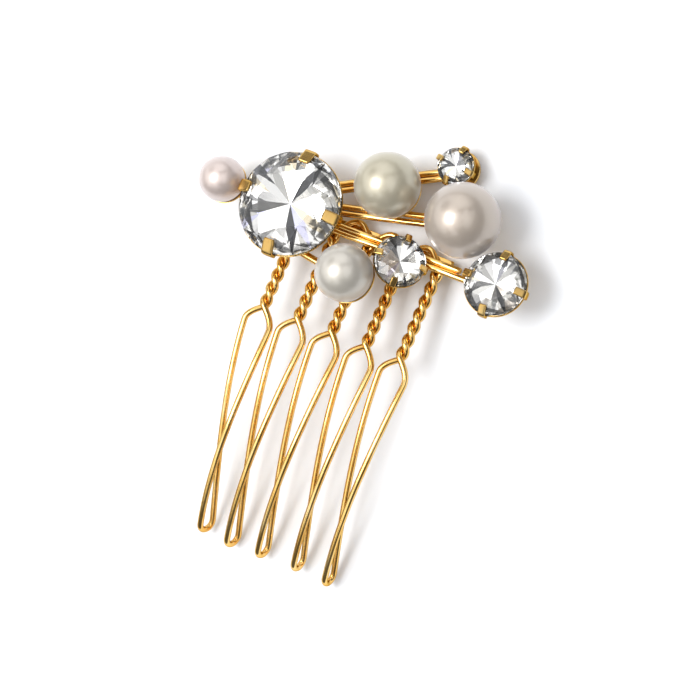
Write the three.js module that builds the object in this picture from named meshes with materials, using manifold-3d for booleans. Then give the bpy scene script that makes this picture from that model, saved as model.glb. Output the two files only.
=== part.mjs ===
// A decorative hair comb: five hairpin teeth of twisted wire, joined by arches along a spine,
// with a fan of soldered wire rails that carries four crystals in prong cups and four pearls on pegs.
// Millimetres. In the comb's own frame X runs along the spine, Y from the tips to the head
// and Z towards the decorated face. The finished comb is tilted until it lies on its tips and its head.

import * as THREE from 'three';
import { mergeVertices } from 'three/addons/utils/BufferGeometryUtils.js';
import Module from 'manifold-3d';

const wasm = await Module();
wasm.setup();

// ---- driving dimensions ----

const FIT = 0.05; // clearance between soldered or seated pieces

// comb wire and teeth; distances along a tooth are measured from the spine line
const COMB_WIRE = 0.84;
const STRAND_GAP = 0.03;
const ROW_CENTRE = 0.62; // the row of teeth sits a little to the right of the head
const ROOT_PITCH = 5.13;
const TOOTH_LENGTHS = [44.8, 45.4, 45.15, 44.95, 45.3]; // one for each tooth, left to right
const TIP_DRIFT = [0.94, -0.1, -0.59, -0.33, -0.77]; // each tip's step aside from its root
const TWIST_START = 0.9;
const TWIST_END = 12.9;
const TWIST_HALF_TURNS = 6.5;
const BEND_RADIUS = 48; // below the twist, the teeth follow a scalp's curve
const LOOP_GAP = 0.11; // between neighbouring hairpins at their shoulders
const TIP_WIDTH = 2.1; // between the legs' centre lines at the tip
const LOOP_TURN = [113, 109, 105, 101, 99]; // degrees that each hairpin's plane turns, shoulder to tip
const TURN_POWER = 1.15;
const TAPER_POWER = 1.3;
const OPENING_FRONT = 0.1; // share of the hairpin that a leg takes to swing out from the twist
const OPENING_BACK = 0.08;

// arches and spine strip
const ARCH_RISE = 1.88;
const STRIP_THICKNESS = 0.5;
const STRIP_BOTTOM = -0.15;
const STRIP_TOP = 1.5;
const STRIP_OVERHANG = 1.3;

// rails; each end is a step [x, y] from the middle of the crystal, pearl or tooth root that it holds
const RAIL_WIRE = 0.84;
const RAIL_GAP = 0.03;
const MAIN_RAIL = { pastLeftPearl: -1.13, pastGreatPearl: 0.41, pastRightCrystal: 1.1 };
const MIDDLE_RAIL = { fromSecondRoot: [-1.89, 1.62], fromGreatPearl: [0.21, 0.2], stubLength: 5.6 };
const LINK_WIRE = { fromUpperPearl: [-0.548, -3.352], fromGreatPearl: [-1.318, -0.072] };
const UPPER_RAIL = { fromLargeCrystal: [-2.84, 1.9], fromSmallCrystal: [1.3, 0.55] };
const STRUT = { wire: 1.0, pastLargeCrystal: -5.84, bends: [[-10.2, -3.95], [-5.0, -5.1]],
  fromLowerPearl: [1.46, -0.14] };

// A crystal or pearl either has a place of its own, at [x, y], or stands beside a neighbour:
// y is its own, and x follows from the gap between the two outlines (less than 0 where they overlap in plan).

// crystals: brilliant-cut stones in four-prong cups
const CROWN_SHARE = 0.13; // of the stone's diameter
const GIRDLE_SHARE = 0.035;
const PAVILION_SHARE = 0.3;
const TABLE_SHARE = 0.58;
const CUP_WALL = 0.32;
const CUP_FLOOR = 0.35;
const RIM_LIP = 0.12;
const CRYSTALS = [
  { name: 'large', diameter: 14, at: [-9.56, 0.15], foot: 5.0, flange: 0, lift: 0.05,
    prong: { width: 1.6, reach: 1.5, thick: 0.42, turn: 0 } },
  { name: 'small', diameter: 4.9, at: [8.8, 12.75], foot: 3.0, flange: 5.36, lift: 0.75,
    prong: { width: 0.75, reach: 0.72, thick: 0.34, turn: -7 } },
  { name: 'middle', diameter: 6.8, at: [5.85, -2.15], foot: 3.2, flange: 0, lift: 0.25, raise: 0.46,
    lean: [26, 14], prong: { width: 0.82, reach: 0.8, thick: 0.36, turn: 9 } },
  { name: 'right', diameter: 8.4, y: 0.05, beside: { neighbour: 'great', side: 1, gap: -0.157 },
    foot: 3.8, flange: 0, lift: 0.15,
    prong: { width: 1.05, reach: 1.05, thick: 0.38, turn: 0 } },
];

// pearls, glued over a peg in a dished cup
const DISH_WALL = 0.3;
const DISH_FLOOR = 0.3;
const PEG_DIAMETER = 0.9;
const PEG_DEPTH = 0.45; // share of the pearl's radius that the peg enters
const PEARLS = [
  { name: 'left', diameter: 6.1, y: 0.21, beside: { neighbour: 'large', side: -1, gap: 0.86 },
    grip: 0.85, foot: 2.6 },
  { name: 'upper', diameter: 8.8, at: [1.92, 6.98], grip: 0.8, foot: 5.4 },
  { name: 'lower', diameter: 7.7, y: -5.81, beside: { neighbour: 'middle', side: -1, gap: -1.364 },
    grip: 0.85, foot: 3.2, onStrut: true },
  { name: 'great', diameter: 10, at: [13.69, 6.0], grip: 0.6, foot: 4.0 },
];

// roundness of the solids
const WIRE_SIDES = 6;
const RAIL_SIDES = 8;
const LATHE_SIDES = 20;
const STONE_SIDES = 16;
const PEARL_ARCS = 10;
const TWIST_STEPS = 32;
const LEG_STEPS = 14;
const BOW_STEPS = 6;
const ARCH_STEPS = 12;
const STRUT_STEPS = 10;

// ---- finishes ----

const GOLD = { color: 0xd9a441, metalness: 1, roughness: 0.22 };
const CRYSTAL = { color: 0xeef1f2, metalness: 0, roughness: 0.05 };
const PEARL = { color: 0xece6dd, metalness: 0, roughness: 0.3 };

// ---- heights, from the middle of the comb wire up ----

const wireRadius = COMB_WIRE / 2;
const strandRadius = wireRadius + STRAND_GAP / 2;
const railRadius = RAIL_WIRE / 2;
const railHeight = wireRadius + FIT + railRadius;
const railTop = railHeight + railRadius + FIT;
const twistTop = strandRadius + wireRadius;
const footTop = TWIST_START - 0.2; // where a tooth's strands end and the arches' feet begin
const loopWidth = ROOT_PITCH - COMB_WIRE - LOOP_GAP; // between a hairpin's legs below its shoulder
const strutHeight = twistTop + FIT + STRUT.wire / 2;
const strutTop = strutHeight + STRUT.wire / 2 + FIT;

// ---- places in plan ----

function placeOf(name) {
  const piece = [...CRYSTALS, ...PEARLS].find((one) => one.name === name);
  if (piece.at) return piece.at;
  const { neighbour, side, gap } = piece.beside;
  const other = [...CRYSTALS, ...PEARLS].find((one) => one.name === neighbour);
  const [otherX, otherY] = placeOf(neighbour);
  const distance = (piece.diameter + other.diameter) / 2 + gap;
  return [otherX + side * Math.sqrt(distance ** 2 - (piece.y - otherY) ** 2), piece.y];
}

function from([x, y], [stepX, stepY]) {
  return [x + stepX, y + stepY];
}

// ---- helpers ----

const comb = new THREE.Group();

function addMesh(name, geometry, finish) {
  const mesh = new THREE.Mesh(geometry, new THREE.MeshStandardMaterial(finish));
  mesh.name = name;
  comb.add(mesh);
  return mesh;
}

// Shared corners only, no collapsed triangles, faces pointing out.
function closedGeometry(source) {
  const bare = source.clone();
  bare.deleteAttribute('normal');
  bare.deleteAttribute('uv');
  const merged = mergeVertices(bare, 1e-4);
  const index = merged.index.array;
  const spot = merged.attributes.position;
  const kept = [];
  let volume = 0;
  const corner = [new THREE.Vector3(), new THREE.Vector3(), new THREE.Vector3()];
  for (let i = 0; i < index.length; i += 3) {
    const [a, b, c] = [index[i], index[i + 1], index[i + 2]];
    if (a === b || b === c || c === a) continue;
    kept.push([a, b, c]);
    [a, b, c].forEach((vertex, k) => corner[k].fromBufferAttribute(spot, vertex));
    volume += corner[0].dot(corner[1].clone().cross(corner[2]));
  }
  const faces = volume < 0 ? kept.map(([a, b, c]) => [a, c, b]) : kept;
  merged.setIndex(faces.flat());
  return merged;
}

function toManifold(geometry) {
  const closed = closedGeometry(geometry);
  return new wasm.Manifold(new wasm.Mesh({
    numProp: 3,
    vertProperties: new Float32Array(closed.attributes.position.array),
    triVerts: new Uint32Array(closed.index.array),
  }));
}

function fromManifold(solid) {
  const mesh = solid.getMesh();
  const geometry = new THREE.BufferGeometry();
  geometry.setAttribute('position', new THREE.BufferAttribute(mesh.vertProperties, 3));
  geometry.setIndex(new THREE.BufferAttribute(mesh.triVerts, 1));
  return geometry;
}

function join(geometries) {
  const solids = geometries.map(toManifold);
  return fromManifold(solids.reduce((whole, next) => whole.add(next)));
}

// A solid turned about Z from [radius, height] points that start and end on the axis.
function turned(profile, sides) {
  const points = profile.map(([radius, height]) => new THREE.Vector2(radius, height));
  const geometry = new THREE.LatheGeometry(points, sides);
  geometry.rotateX(Math.PI / 2);
  return closedGeometry(geometry);
}

// A path through fixed stations, so that a wire's steps can be short where it bends and long elsewhere.
class StationPath extends THREE.Curve {
  constructor(stations) {
    super();
    this.stations = stations;
  }

  getUtoTmapping(u) {
    return u;
  }

  getPoint(t, target = new THREE.Vector3()) {
    const last = this.stations.length - 1;
    const place = Math.min(t * last, last);
    const before = Math.min(Math.floor(place + 1e-9), last - 1);
    return target.lerpVectors(this.stations[before], this.stations[before + 1], place - before);
  }

  getTangent(t, target = new THREE.Vector3()) {
    const last = this.stations.length - 1;
    const nearest = Math.round(t * last);
    const ahead = this.stations[Math.min(nearest + 1, last)];
    const behind = this.stations[Math.max(nearest - 1, 0)];
    return target.subVectors(ahead, behind).normalize();
  }
}

function wire(stations, radius, sides) {
  const section = new THREE.Shape();
  for (let i = 0; i < sides; i += 1) {
    const angle = 2 * Math.PI * i / sides;
    const step = i === 0 ? 'moveTo' : 'lineTo';
    section[step](radius * Math.cos(angle), radius * Math.sin(angle));
  }
  const extrudePath = new StationPath(stations);
  return closedGeometry(new THREE.ExtrudeGeometry(section, { steps: stations.length - 1, extrudePath }));
}

// ---- comb teeth ----

const teeth = TOOTH_LENGTHS.length;
const rootX = (i) => ROW_CENTRE + (i - (teeth - 1) / 2) * ROOT_PITCH;
const loopShare = (i, along) => Math.max(along - TWIST_END, 0) / (TOOTH_LENGTHS[i] - TWIST_END);
const bendAngle = (along) => Math.max(along - TWIST_END, 0) / BEND_RADIUS;

// The tooth's middle line: straight through the twist, then an arc that bends back.
function toothCentre(i, along) {
  const angle = bendAngle(along);
  return new THREE.Vector3(
    rootX(i) + TIP_DRIFT[i] * loopShare(i, along),
    -Math.min(along, TWIST_END) - BEND_RADIUS * Math.sin(angle),
    -BEND_RADIUS * (1 - Math.cos(angle)),
  );
}

function toothDirections(along) {
  const angle = bendAngle(along);
  return {
    down: new THREE.Vector3(0, -Math.cos(angle), -Math.sin(angle)),
    face: new THREE.Vector3(0, -Math.sin(angle), Math.cos(angle)),
  };
}

// In the twist a strand circles the middle line; it reaches the hairpin in front (side 1) or behind (-1).
function twistOffset(along, side) {
  const wound = THREE.MathUtils.clamp((TWIST_END - along) / (TWIST_END - TWIST_START), 0, 1);
  const angle = Math.PI * (0.5 + TWIST_HALF_TURNS * wound);
  return new THREE.Vector2(Math.cos(angle), Math.sin(angle)).multiplyScalar(side * strandRadius);
}

// In the hairpin the two legs swing apart sideways, then their plane turns until one is in front.
function legOffset(i, along, side) {
  const share = loopShare(i, along);
  const turn = THREE.MathUtils.degToRad(LOOP_TURN[i]) * share ** TURN_POWER;
  const width = loopWidth - (loopWidth - TIP_WIDTH) * share ** TAPER_POWER;
  const spread = new THREE.Vector2(Math.cos(turn), Math.sin(turn)).multiplyScalar(side * width / 2);
  const swing = Math.min(share / (side > 0 ? OPENING_FRONT : OPENING_BACK), 1);
  return twistOffset(TWIST_END, side).lerp(spread, Math.sin(swing * Math.PI / 2));
}

function strandPoint(i, along, side) {
  const offset = along < TWIST_END ? twistOffset(along, side) : legOffset(i, along, side);
  return toothCentre(i, along)
    .add(new THREE.Vector3(offset.x, 0, 0))
    .addScaledVector(toothDirections(along).face, offset.y);
}

const bowStart = (i) => TOOTH_LENGTHS[i] - TIP_WIDTH / 2;

// One strand from its root to where the bow at the tip starts.
function strandStations(i, side, top) {
  const stations = [strandPoint(i, top, side)];
  for (let k = top < TWIST_START ? 0 : 1; k <= TWIST_STEPS; k += 1) {
    const along = TWIST_START + (TWIST_END - TWIST_START) * k / TWIST_STEPS;
    stations.push(strandPoint(i, along, side));
  }
  for (let k = 1; k <= LEG_STEPS; k += 1) {
    const share = (k / LEG_STEPS) ** 1.8; // shorter steps round the shoulder
    stations.push(strandPoint(i, TWIST_END + (bowStart(i) - TWIST_END) * share, side));
  }
  return stations;
}

// The bow at the tip: a half circle from the back leg round to the front leg.
function bowStations(i) {
  const start = bowStart(i);
  const { down } = toothDirections(start);
  const middle = toothCentre(i, start);
  const across = strandPoint(i, start, 1).sub(middle);
  const stations = [];
  for (let k = 1; k < BOW_STEPS; k += 1) {
    const angle = Math.PI * k / BOW_STEPS;
    stations.push(middle.clone()
      .addScaledVector(across, -Math.cos(angle))
      .addScaledVector(down, across.length() * Math.sin(angle)));
  }
  return stations;
}

// At the root the two strands lie side by side; after an odd count of crossings the front one is on the left.
const rootSide = Math.sign(Math.cos(Math.PI * (0.5 + TWIST_HALF_TURNS)));

function addTeeth() {
  const tail = -0.6; // the two outermost strands run on under the rail
  for (let i = 0; i < teeth; i += 1) {
    const leftTop = i === 0 ? tail : footTop;
    const rightTop = i === teeth - 1 ? tail : footTop;
    const [backTop, frontTop] = rootSide < 0 ? [rightTop, leftTop] : [leftTop, rightTop];
    const stations = [
      ...strandStations(i, -1, backTop),
      ...bowStations(i),
      ...strandStations(i, 1, frontTop).reverse(),
    ];
    addMesh(`tooth_${i + 1}`, wire(stations, wireRadius, WIRE_SIDES), GOLD);
  }
}

// An arch of comb wire from one tooth's inner strand to the next one's, with straight feet.
function addArches() {
  const archFoot = footTop - FIT;
  for (let i = 0; i < teeth - 1; i += 1) {
    const left = rootX(i) + strandRadius;
    const right = rootX(i + 1) - strandRadius;
    const middle = (left + right) / 2;
    const half = (right - left) / 2;
    const stations = [new THREE.Vector3(left, -archFoot, 0)];
    for (let k = 0; k <= ARCH_STEPS; k += 1) {
      const angle = Math.PI * k / ARCH_STEPS;
      const rise = ARCH_RISE * Math.sin(angle) ** 2;
      stations.push(new THREE.Vector3(middle - half * Math.cos(angle), rise, 0));
    }
    stations.push(new THREE.Vector3(right, -archFoot, 0));
    addMesh(`spine_arch_${i + 1}`, wire(stations, wireRadius, WIRE_SIDES), GOLD);
  }
}

function addSpineStrip() {
  const length = rootX(teeth - 1) - rootX(0) + 2 * STRIP_OVERHANG;
  const geometry = new THREE.BoxGeometry(length, STRIP_TOP - STRIP_BOTTOM, STRIP_THICKNESS);
  const strip = addMesh('spine_strip', geometry, GOLD);
  strip.position.set(ROW_CENTRE, (STRIP_TOP + STRIP_BOTTOM) / 2, -(wireRadius + FIT + STRIP_THICKNESS / 2));
}

// ---- wire rails ----

function straightWire(name, start, end) {
  const stations = [start, end].map(([x, y]) => new THREE.Vector3(x, y, railHeight));
  addMesh(name, wire(stations, railRadius, RAIL_SIDES), GOLD);
}

// Points moved sideways, to the left of the way that the run goes.
function beside(start, end, offset) {
  const run = new THREE.Vector2(end[0] - start[0], end[1] - start[1]).normalize();
  const shift = ([x, y]) => [x - run.y * offset, y + run.x * offset];
  return [shift(start), shift(end)];
}

function upperRailEnds() {
  return [
    from(placeOf('large'), UPPER_RAIL.fromLargeCrystal),
    from(placeOf('small'), UPPER_RAIL.fromSmallCrystal),
  ];
}

function addRails() {
  const half = (RAIL_WIRE + RAIL_GAP) / 2;
  const left = placeOf('left')[0] + MAIN_RAIL.pastLeftPearl;
  const upperEnd = placeOf('great')[0] + MAIN_RAIL.pastGreatPearl;
  const lowerEnd = placeOf('right')[0] + MAIN_RAIL.pastRightCrystal;
  straightWire('main_rail_upper', [left, half], [upperEnd, half]);
  straightWire('main_rail_lower', [left, -half], [lowerEnd, -half]);
  const middleStart = from([rootX(1), 0], MIDDLE_RAIL.fromSecondRoot);
  const middleEnd = from(placeOf('great'), MIDDLE_RAIL.fromGreatPearl);
  straightWire('middle_rail', middleStart, middleEnd);
  const stub = beside(middleStart, middleEnd, 2 * half);
  const run = new THREE.Vector2(stub[1][0] - stub[0][0], stub[1][1] - stub[0][1]).normalize();
  const stubEnd = from(stub[0], run.multiplyScalar(MIDDLE_RAIL.stubLength).toArray());
  straightWire('middle_rail_stub', stub[0], stubEnd);
  const linkStart = from(placeOf('upper'), LINK_WIRE.fromUpperPearl);
  const linkEnd = from(placeOf('great'), LINK_WIRE.fromGreatPearl);
  straightWire('link_wire', ...beside(linkStart, linkEnd, RAIL_WIRE)); // clear of the middle rail
  const [upperStart, upperFreeEnd] = upperRailEnds();
  straightWire('upper_rail_front', ...beside(upperStart, upperFreeEnd, -half));
  straightWire('upper_rail_back', ...beside(upperStart, upperFreeEnd, half));
}

// The strut to the lower pearl starts beside the main rail, curves away and crosses above the twists.
function addStrut() {
  const besideRail = -(RAIL_WIRE + RAIL_GAP / 2 + FIT + STRUT.wire / 2);
  const beginning = [placeOf('large')[0] + STRUT.pastLargeCrystal, besideRail];
  const end = from(placeOf('lower'), STRUT.fromLowerPearl);
  const points = [beginning, ...STRUT.bends, end].map(([x, y]) => new THREE.Vector3(x, y, strutHeight));
  const route = new THREE.CatmullRomCurve3(points);
  const stations = route.getSpacedPoints(STRUT_STEPS);
  addMesh('strut', wire(stations, STRUT.wire / 2, RAIL_SIDES), GOLD);
}

// ---- crystals ----

function stoneHeights(crystal) {
  const { diameter } = crystal;
  const girdleBottom = CUP_FLOOR + crystal.lift + PAVILION_SHARE * diameter;
  const girdleTop = girdleBottom + GIRDLE_SHARE * diameter;
  return { girdleBottom, girdleTop, tableTop: girdleTop + CROWN_SHARE * diameter };
}

function stoneGeometry(crystal) {
  const { girdleBottom, girdleTop, tableTop } = stoneHeights(crystal);
  const radius = crystal.diameter / 2;
  return turned([
    [0, CUP_FLOOR + crystal.lift],
    [radius, girdleBottom],
    [radius, girdleTop],
    [radius * TABLE_SHARE, tableTop],
    [0, tableTop],
  ], STONE_SIDES);
}

// Inside, the wall keeps to the slope of the stone's pavilion; the flange is a wide disc at the foot.
function cupBowl(crystal) {
  const { girdleBottom } = stoneHeights(crystal);
  const radius = crystal.diameter / 2;
  const foot = crystal.foot / 2;
  const slope = PAVILION_SHARE * 2;
  const lipTop = girdleBottom - FIT;
  const innerRim = radius - CUP_WALL;
  const flange = crystal.flange > 0
    ? [[crystal.flange / 2, 0], [crystal.flange / 2, CUP_FLOOR], [foot, CUP_FLOOR]]
    : [[foot, 0]];
  return turned([
    [0, 0],
    ...flange,
    [radius + RIM_LIP, lipTop - CUP_WALL],
    [radius + RIM_LIP, lipTop],
    [innerRim, lipTop - (CUP_WALL + RIM_LIP) * slope],
    [foot - CUP_WALL, CUP_FLOOR],
    [0, CUP_FLOOR],
  ], LATHE_SIDES);
}

// A prong: a bent strip that grips the rim outside and folds over the crown.
function prongGeometry(crystal, angle) {
  const { girdleBottom, girdleTop, tableTop } = stoneHeights(crystal);
  const { width, reach, thick } = crystal.prong;
  const radius = crystal.diameter / 2;
  const inner = radius + FIT;
  const outer = inner + thick;
  const crownSlope = (tableTop - girdleTop) / (radius * (1 - TABLE_SHARE));
  const shoulder = girdleTop + 2 * FIT;
  const tipHeight = shoulder + reach * crownSlope;
  const side = new THREE.Shape();
  side.moveTo(radius - CUP_WALL / 2, girdleBottom - 2 * FIT - CUP_WALL);
  side.lineTo(outer, girdleBottom - 2 * CUP_WALL);
  side.lineTo(outer, shoulder + thick * 0.6);
  side.lineTo(inner, shoulder + thick);
  side.lineTo(radius - reach, tipHeight + thick * 0.9);
  side.lineTo(radius - reach, tipHeight);
  side.lineTo(inner, shoulder);
  side.lineTo(inner, girdleBottom - FIT);
  side.closePath();
  const strip = new THREE.ExtrudeGeometry(side, { depth: width, steps: 1, bevelEnabled: false });
  strip.translate(0, 0, -width / 2);
  strip.rotateX(Math.PI / 2);
  strip.rotateZ(angle);
  return strip;
}

function addCrystals() {
  for (const crystal of CRYSTALS) {
    const prongs = [0, 1, 2, 3].map((k) => {
      const turn = THREE.MathUtils.degToRad(crystal.prong.turn + 90 * k);
      return prongGeometry(crystal, turn);
    });
    const pieces = [
      addMesh(`${crystal.name}_crystal_cup`, join([cupBowl(crystal), ...prongs]), GOLD),
      addMesh(`${crystal.name}_crystal`, stoneGeometry(crystal), CRYSTAL),
    ];
    const [leanRight, leanUp] = crystal.lean ?? [0, 0];
    const setting = new THREE.Group();
    const [x, y] = placeOf(crystal.name);
    setting.position.set(x, y, railTop + (crystal.raise ?? 0));
    setting.rotation.set(
      -THREE.MathUtils.degToRad(leanUp),
      THREE.MathUtils.degToRad(leanRight),
      0,
    );
    setting.add(...pieces);
    comb.add(setting);
  }
}

// ---- pearls ----

// The dish follows the pearl from the foot up to where it grips, with the peg standing in the middle.
function dishProfile(pearl) {
  const radius = pearl.diameter / 2;
  const bowl = radius + FIT;
  const centre = DISH_FLOOR + bowl;
  const peg = PEG_DIAMETER / 2;
  const gripAngle = Math.asin(pearl.grip);
  const rimHeight = centre - bowl * Math.cos(gripAngle);
  const rimInner = bowl * pearl.grip;
  const arcs = 4;
  const pegAngle = Math.asin(peg / bowl);
  const bowlPoints = [];
  for (let k = 0; k <= arcs; k += 1) {
    const angle = gripAngle + (pegAngle - gripAngle) * k / arcs;
    bowlPoints.push([bowl * Math.sin(angle), centre - bowl * Math.cos(angle)]);
  }
  return [
    [0, 0],
    [pearl.foot / 2, 0],
    [rimInner + DISH_WALL * 0.6, rimHeight - DISH_WALL],
    [rimInner + DISH_WALL, rimHeight],
    ...bowlPoints,
    [peg, DISH_FLOOR + radius * PEG_DEPTH],
    [0, DISH_FLOOR + radius * PEG_DEPTH],
  ];
}

// A round pearl with a blind hole from below, a clearance wider and deeper than its peg.
function pearlProfile(pearl) {
  const radius = pearl.diameter / 2;
  const centre = DISH_FLOOR + radius + FIT;
  const hole = PEG_DIAMETER / 2 + FIT;
  const startAngle = Math.asin(hole / radius);
  const profile = [
    [0, DISH_FLOOR + radius * PEG_DEPTH + FIT],
    [hole, DISH_FLOOR + radius * PEG_DEPTH + FIT],
  ];
  for (let k = 0; k <= PEARL_ARCS; k += 1) {
    const angle = startAngle + (Math.PI - startAngle) * k / PEARL_ARCS;
    const ring = k === PEARL_ARCS ? 0 : radius * Math.sin(angle);
    profile.push([ring, centre - radius * Math.cos(angle)]);
  }
  return profile;
}

function addPearls() {
  for (const pearl of PEARLS) {
    const cup = addMesh(`${pearl.name}_pearl_cup`, turned(dishProfile(pearl), LATHE_SIDES), GOLD);
    const ball = addMesh(`${pearl.name}_pearl`, turned(pearlProfile(pearl), LATHE_SIDES), PEARL);
    const [x, y] = placeOf(pearl.name);
    cup.position.set(x, y, pearl.onStrut ? strutTop : railTop);
    ball.position.copy(cup.position);
  }
}

// ---- assembly ----

addTeeth();
addArches();
addSpineStrip();
addRails();
addStrut();
addCrystals();
addPearls();

// The comb lies on the backs of its tips and on the free end of the upper rail.
const tipPoint = toothCentre(0, Math.max(...TOOTH_LENGTHS));
const tipBack = tipPoint.z - TIP_WIDTH / 2 - wireRadius;
const railBack = railHeight - railRadius;
const restTilt = Math.atan2(railBack - tipBack, upperRailEnds()[1][1] - tipPoint.y);
comb.rotation.x = -restTilt;

// Origin: the middle of the underside of the whole comb.
const model = new THREE.Group();
model.add(comb);
model.updateMatrixWorld(true);
const extent = new THREE.Box3().setFromObject(comb, true);
const middleOfBox = extent.getCenter(new THREE.Vector3());
comb.position.set(-middleOfBox.x, -middleOfBox.y, -extent.min.z);

export default model;
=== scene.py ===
# %% [markdown]
# # A decorative hair comb
# The comb is bent from one long gold-plated wire: five hairpin teeth, each closed by a twist, joined by
# small arches. Wire rails are soldered across the arches, and on the rails stand crystals in prong cups and
# pearls in dished cups. The CAD model gives every size and place. Here each solid is made again as a fine
# surface, in metres, with the finish of the real thing.

# %% Load the frame
import math

import bpy
import numpy as np
from mathutils import Matrix, Vector


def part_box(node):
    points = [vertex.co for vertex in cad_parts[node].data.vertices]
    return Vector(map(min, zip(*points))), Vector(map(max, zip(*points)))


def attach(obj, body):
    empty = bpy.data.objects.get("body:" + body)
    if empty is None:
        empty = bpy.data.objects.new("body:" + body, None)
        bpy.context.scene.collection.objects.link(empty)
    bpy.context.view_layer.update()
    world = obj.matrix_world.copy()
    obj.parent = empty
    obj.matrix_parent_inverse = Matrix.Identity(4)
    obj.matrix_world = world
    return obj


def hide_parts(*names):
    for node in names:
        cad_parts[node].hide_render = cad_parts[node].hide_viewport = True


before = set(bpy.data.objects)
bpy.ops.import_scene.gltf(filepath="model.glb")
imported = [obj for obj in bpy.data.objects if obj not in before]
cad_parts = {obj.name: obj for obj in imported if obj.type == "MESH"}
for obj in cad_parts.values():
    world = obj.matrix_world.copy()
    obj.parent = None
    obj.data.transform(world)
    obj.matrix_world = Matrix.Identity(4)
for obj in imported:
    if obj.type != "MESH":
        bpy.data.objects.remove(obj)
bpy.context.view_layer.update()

# %% [markdown]
# ## The sizes that drive the CAD model
# They are repeated here in millimetres and turned to metres once, when a piece becomes a mesh. X runs along
# the spine, Y from the tips of the teeth to the head and Z out of the decorated face.

# %% Driving sizes
MM = 0.001
FIT = 0.05
COMB_WIRE, STRAND_GAP = 0.84, 0.03
ROW_CENTRE, ROOT_PITCH = 0.62, 5.13
TOOTH_LENGTHS = np.array([44.8, 45.4, 45.15, 44.95, 45.3])
TIP_DRIFT = np.array([0.94, -0.1, -0.59, -0.33, -0.77])
TWIST_START, TWIST_END, TWIST_HALF_TURNS = 0.9, 12.9, 6.5
BEND_RADIUS = 48.0
LOOP_GAP, TIP_WIDTH = 0.11, 2.1
LOOP_TURN = np.radians([113, 109, 105, 101, 99])
TURN_POWER, TAPER_POWER = 1.15, 1.3
OPENING_FRONT, OPENING_BACK = 0.1, 0.08
ARCH_RISE = 1.88
STRIP_THICKNESS, STRIP_BOTTOM, STRIP_TOP, STRIP_OVERHANG = 0.5, -0.15, 1.5, 1.3
RAIL_WIRE, RAIL_GAP = 0.84, 0.03
STRUT_WIRE = 1.0

wire_radius = COMB_WIRE / 2
strand_radius = wire_radius + STRAND_GAP / 2
loop_width = ROOT_PITCH - COMB_WIRE - LOOP_GAP
rail_radius = RAIL_WIRE / 2
rail_height = wire_radius + FIT + rail_radius
rail_top = rail_height + rail_radius + FIT
twist_top = strand_radius + wire_radius
foot_top = TWIST_START - 0.2
strut_height = twist_top + FIT + STRUT_WIRE / 2
strut_top = strut_height + STRUT_WIRE / 2 + FIT
teeth = len(TOOTH_LENGTHS)
root_x = ROW_CENTRE + (np.arange(teeth) - (teeth - 1) / 2) * ROOT_PITCH
print("teeth at", root_x, "mm; rails' top at", rail_top, "mm")

# %% [markdown]
# ## How the comb lies
# The comb lies on the backs of its tips and on the free end of the upper rail, so its own frame is turned
# about X. The angle follows from those two heights, and the spine strip's box in the CAD model gives the
# shift.

# %% From the comb's own frame to the frame it lies in
UPPER_RAIL_END_Y = 13.3
tip_bend = (TOOTH_LENGTHS.max() - TWIST_END) / BEND_RADIUS
tip_y = -TWIST_END - BEND_RADIUS * math.sin(tip_bend)
tip_back = -BEND_RADIUS * (1 - math.cos(tip_bend)) - TIP_WIDTH / 2 - wire_radius
rest_tilt = math.atan2(rail_height - rail_radius - tip_back, UPPER_RAIL_END_Y - tip_y)
turn = np.array([
    [1, 0, 0],
    [0, math.cos(rest_tilt), math.sin(rest_tilt)],
    [0, -math.sin(rest_tilt), math.cos(rest_tilt)],
])
strip_depth = wire_radius + FIT + STRIP_THICKNESS / 2
strip_centre = np.array([ROW_CENTRE, (STRIP_TOP + STRIP_BOTTOM) / 2, -strip_depth])
strip_low, strip_high = (np.array(corner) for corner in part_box("spine_strip"))
shift = (strip_low + strip_high) / 2 - turn @ strip_centre * MM


def lying(points):
    """Points in the comb's own frame, in mm, turned by the rest tilt and shifted to where the comb lies, in
    metres."""
    return np.asarray(points, float) @ turn.T * MM + shift


print("rest tilt", round(math.degrees(rest_tilt), 3), "degrees; shift", shift)

# %% [markdown]
# ## Turning arrays into pieces
# Every piece but the crystals is a grid of points worked out with numpy. Quads join neighbouring points, and
# where a ring closes to nothing a single point is its pole, so each mesh is closed. A crystal is a list of
# flat facets that share their corners. One function puts the arrays into a mesh, rides it on the comb's only
# body and says which CAD nodes it stands for.

# %% Faces of a grid, and the piece itself
def tube_faces(rings, around):
    """Quads between rings of points, each ring closed on itself, then a fan from a pole at each end.
    Points are numbered ring by ring; the first ring's pole and the last ring's pole come after them."""
    ring, step = np.meshgrid(np.arange(rings - 1), np.arange(around), indexing="ij")
    after = (step + 1) % around
    quads = np.stack([ring * around + step, ring * around + after,
                      (ring + 1) * around + after, (ring + 1) * around + step], -1).reshape(-1, 4)
    step = np.arange(around)
    after = (step + 1) % around
    first = np.stack([np.full(around, rings * around), after, step], -1)
    last_ring = (rings - 1) * around
    last = np.stack([np.full(around, rings * around + 1), last_ring + step, last_ring + after], -1)
    return quads.tolist() + first.tolist() + last.tolist()


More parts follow.
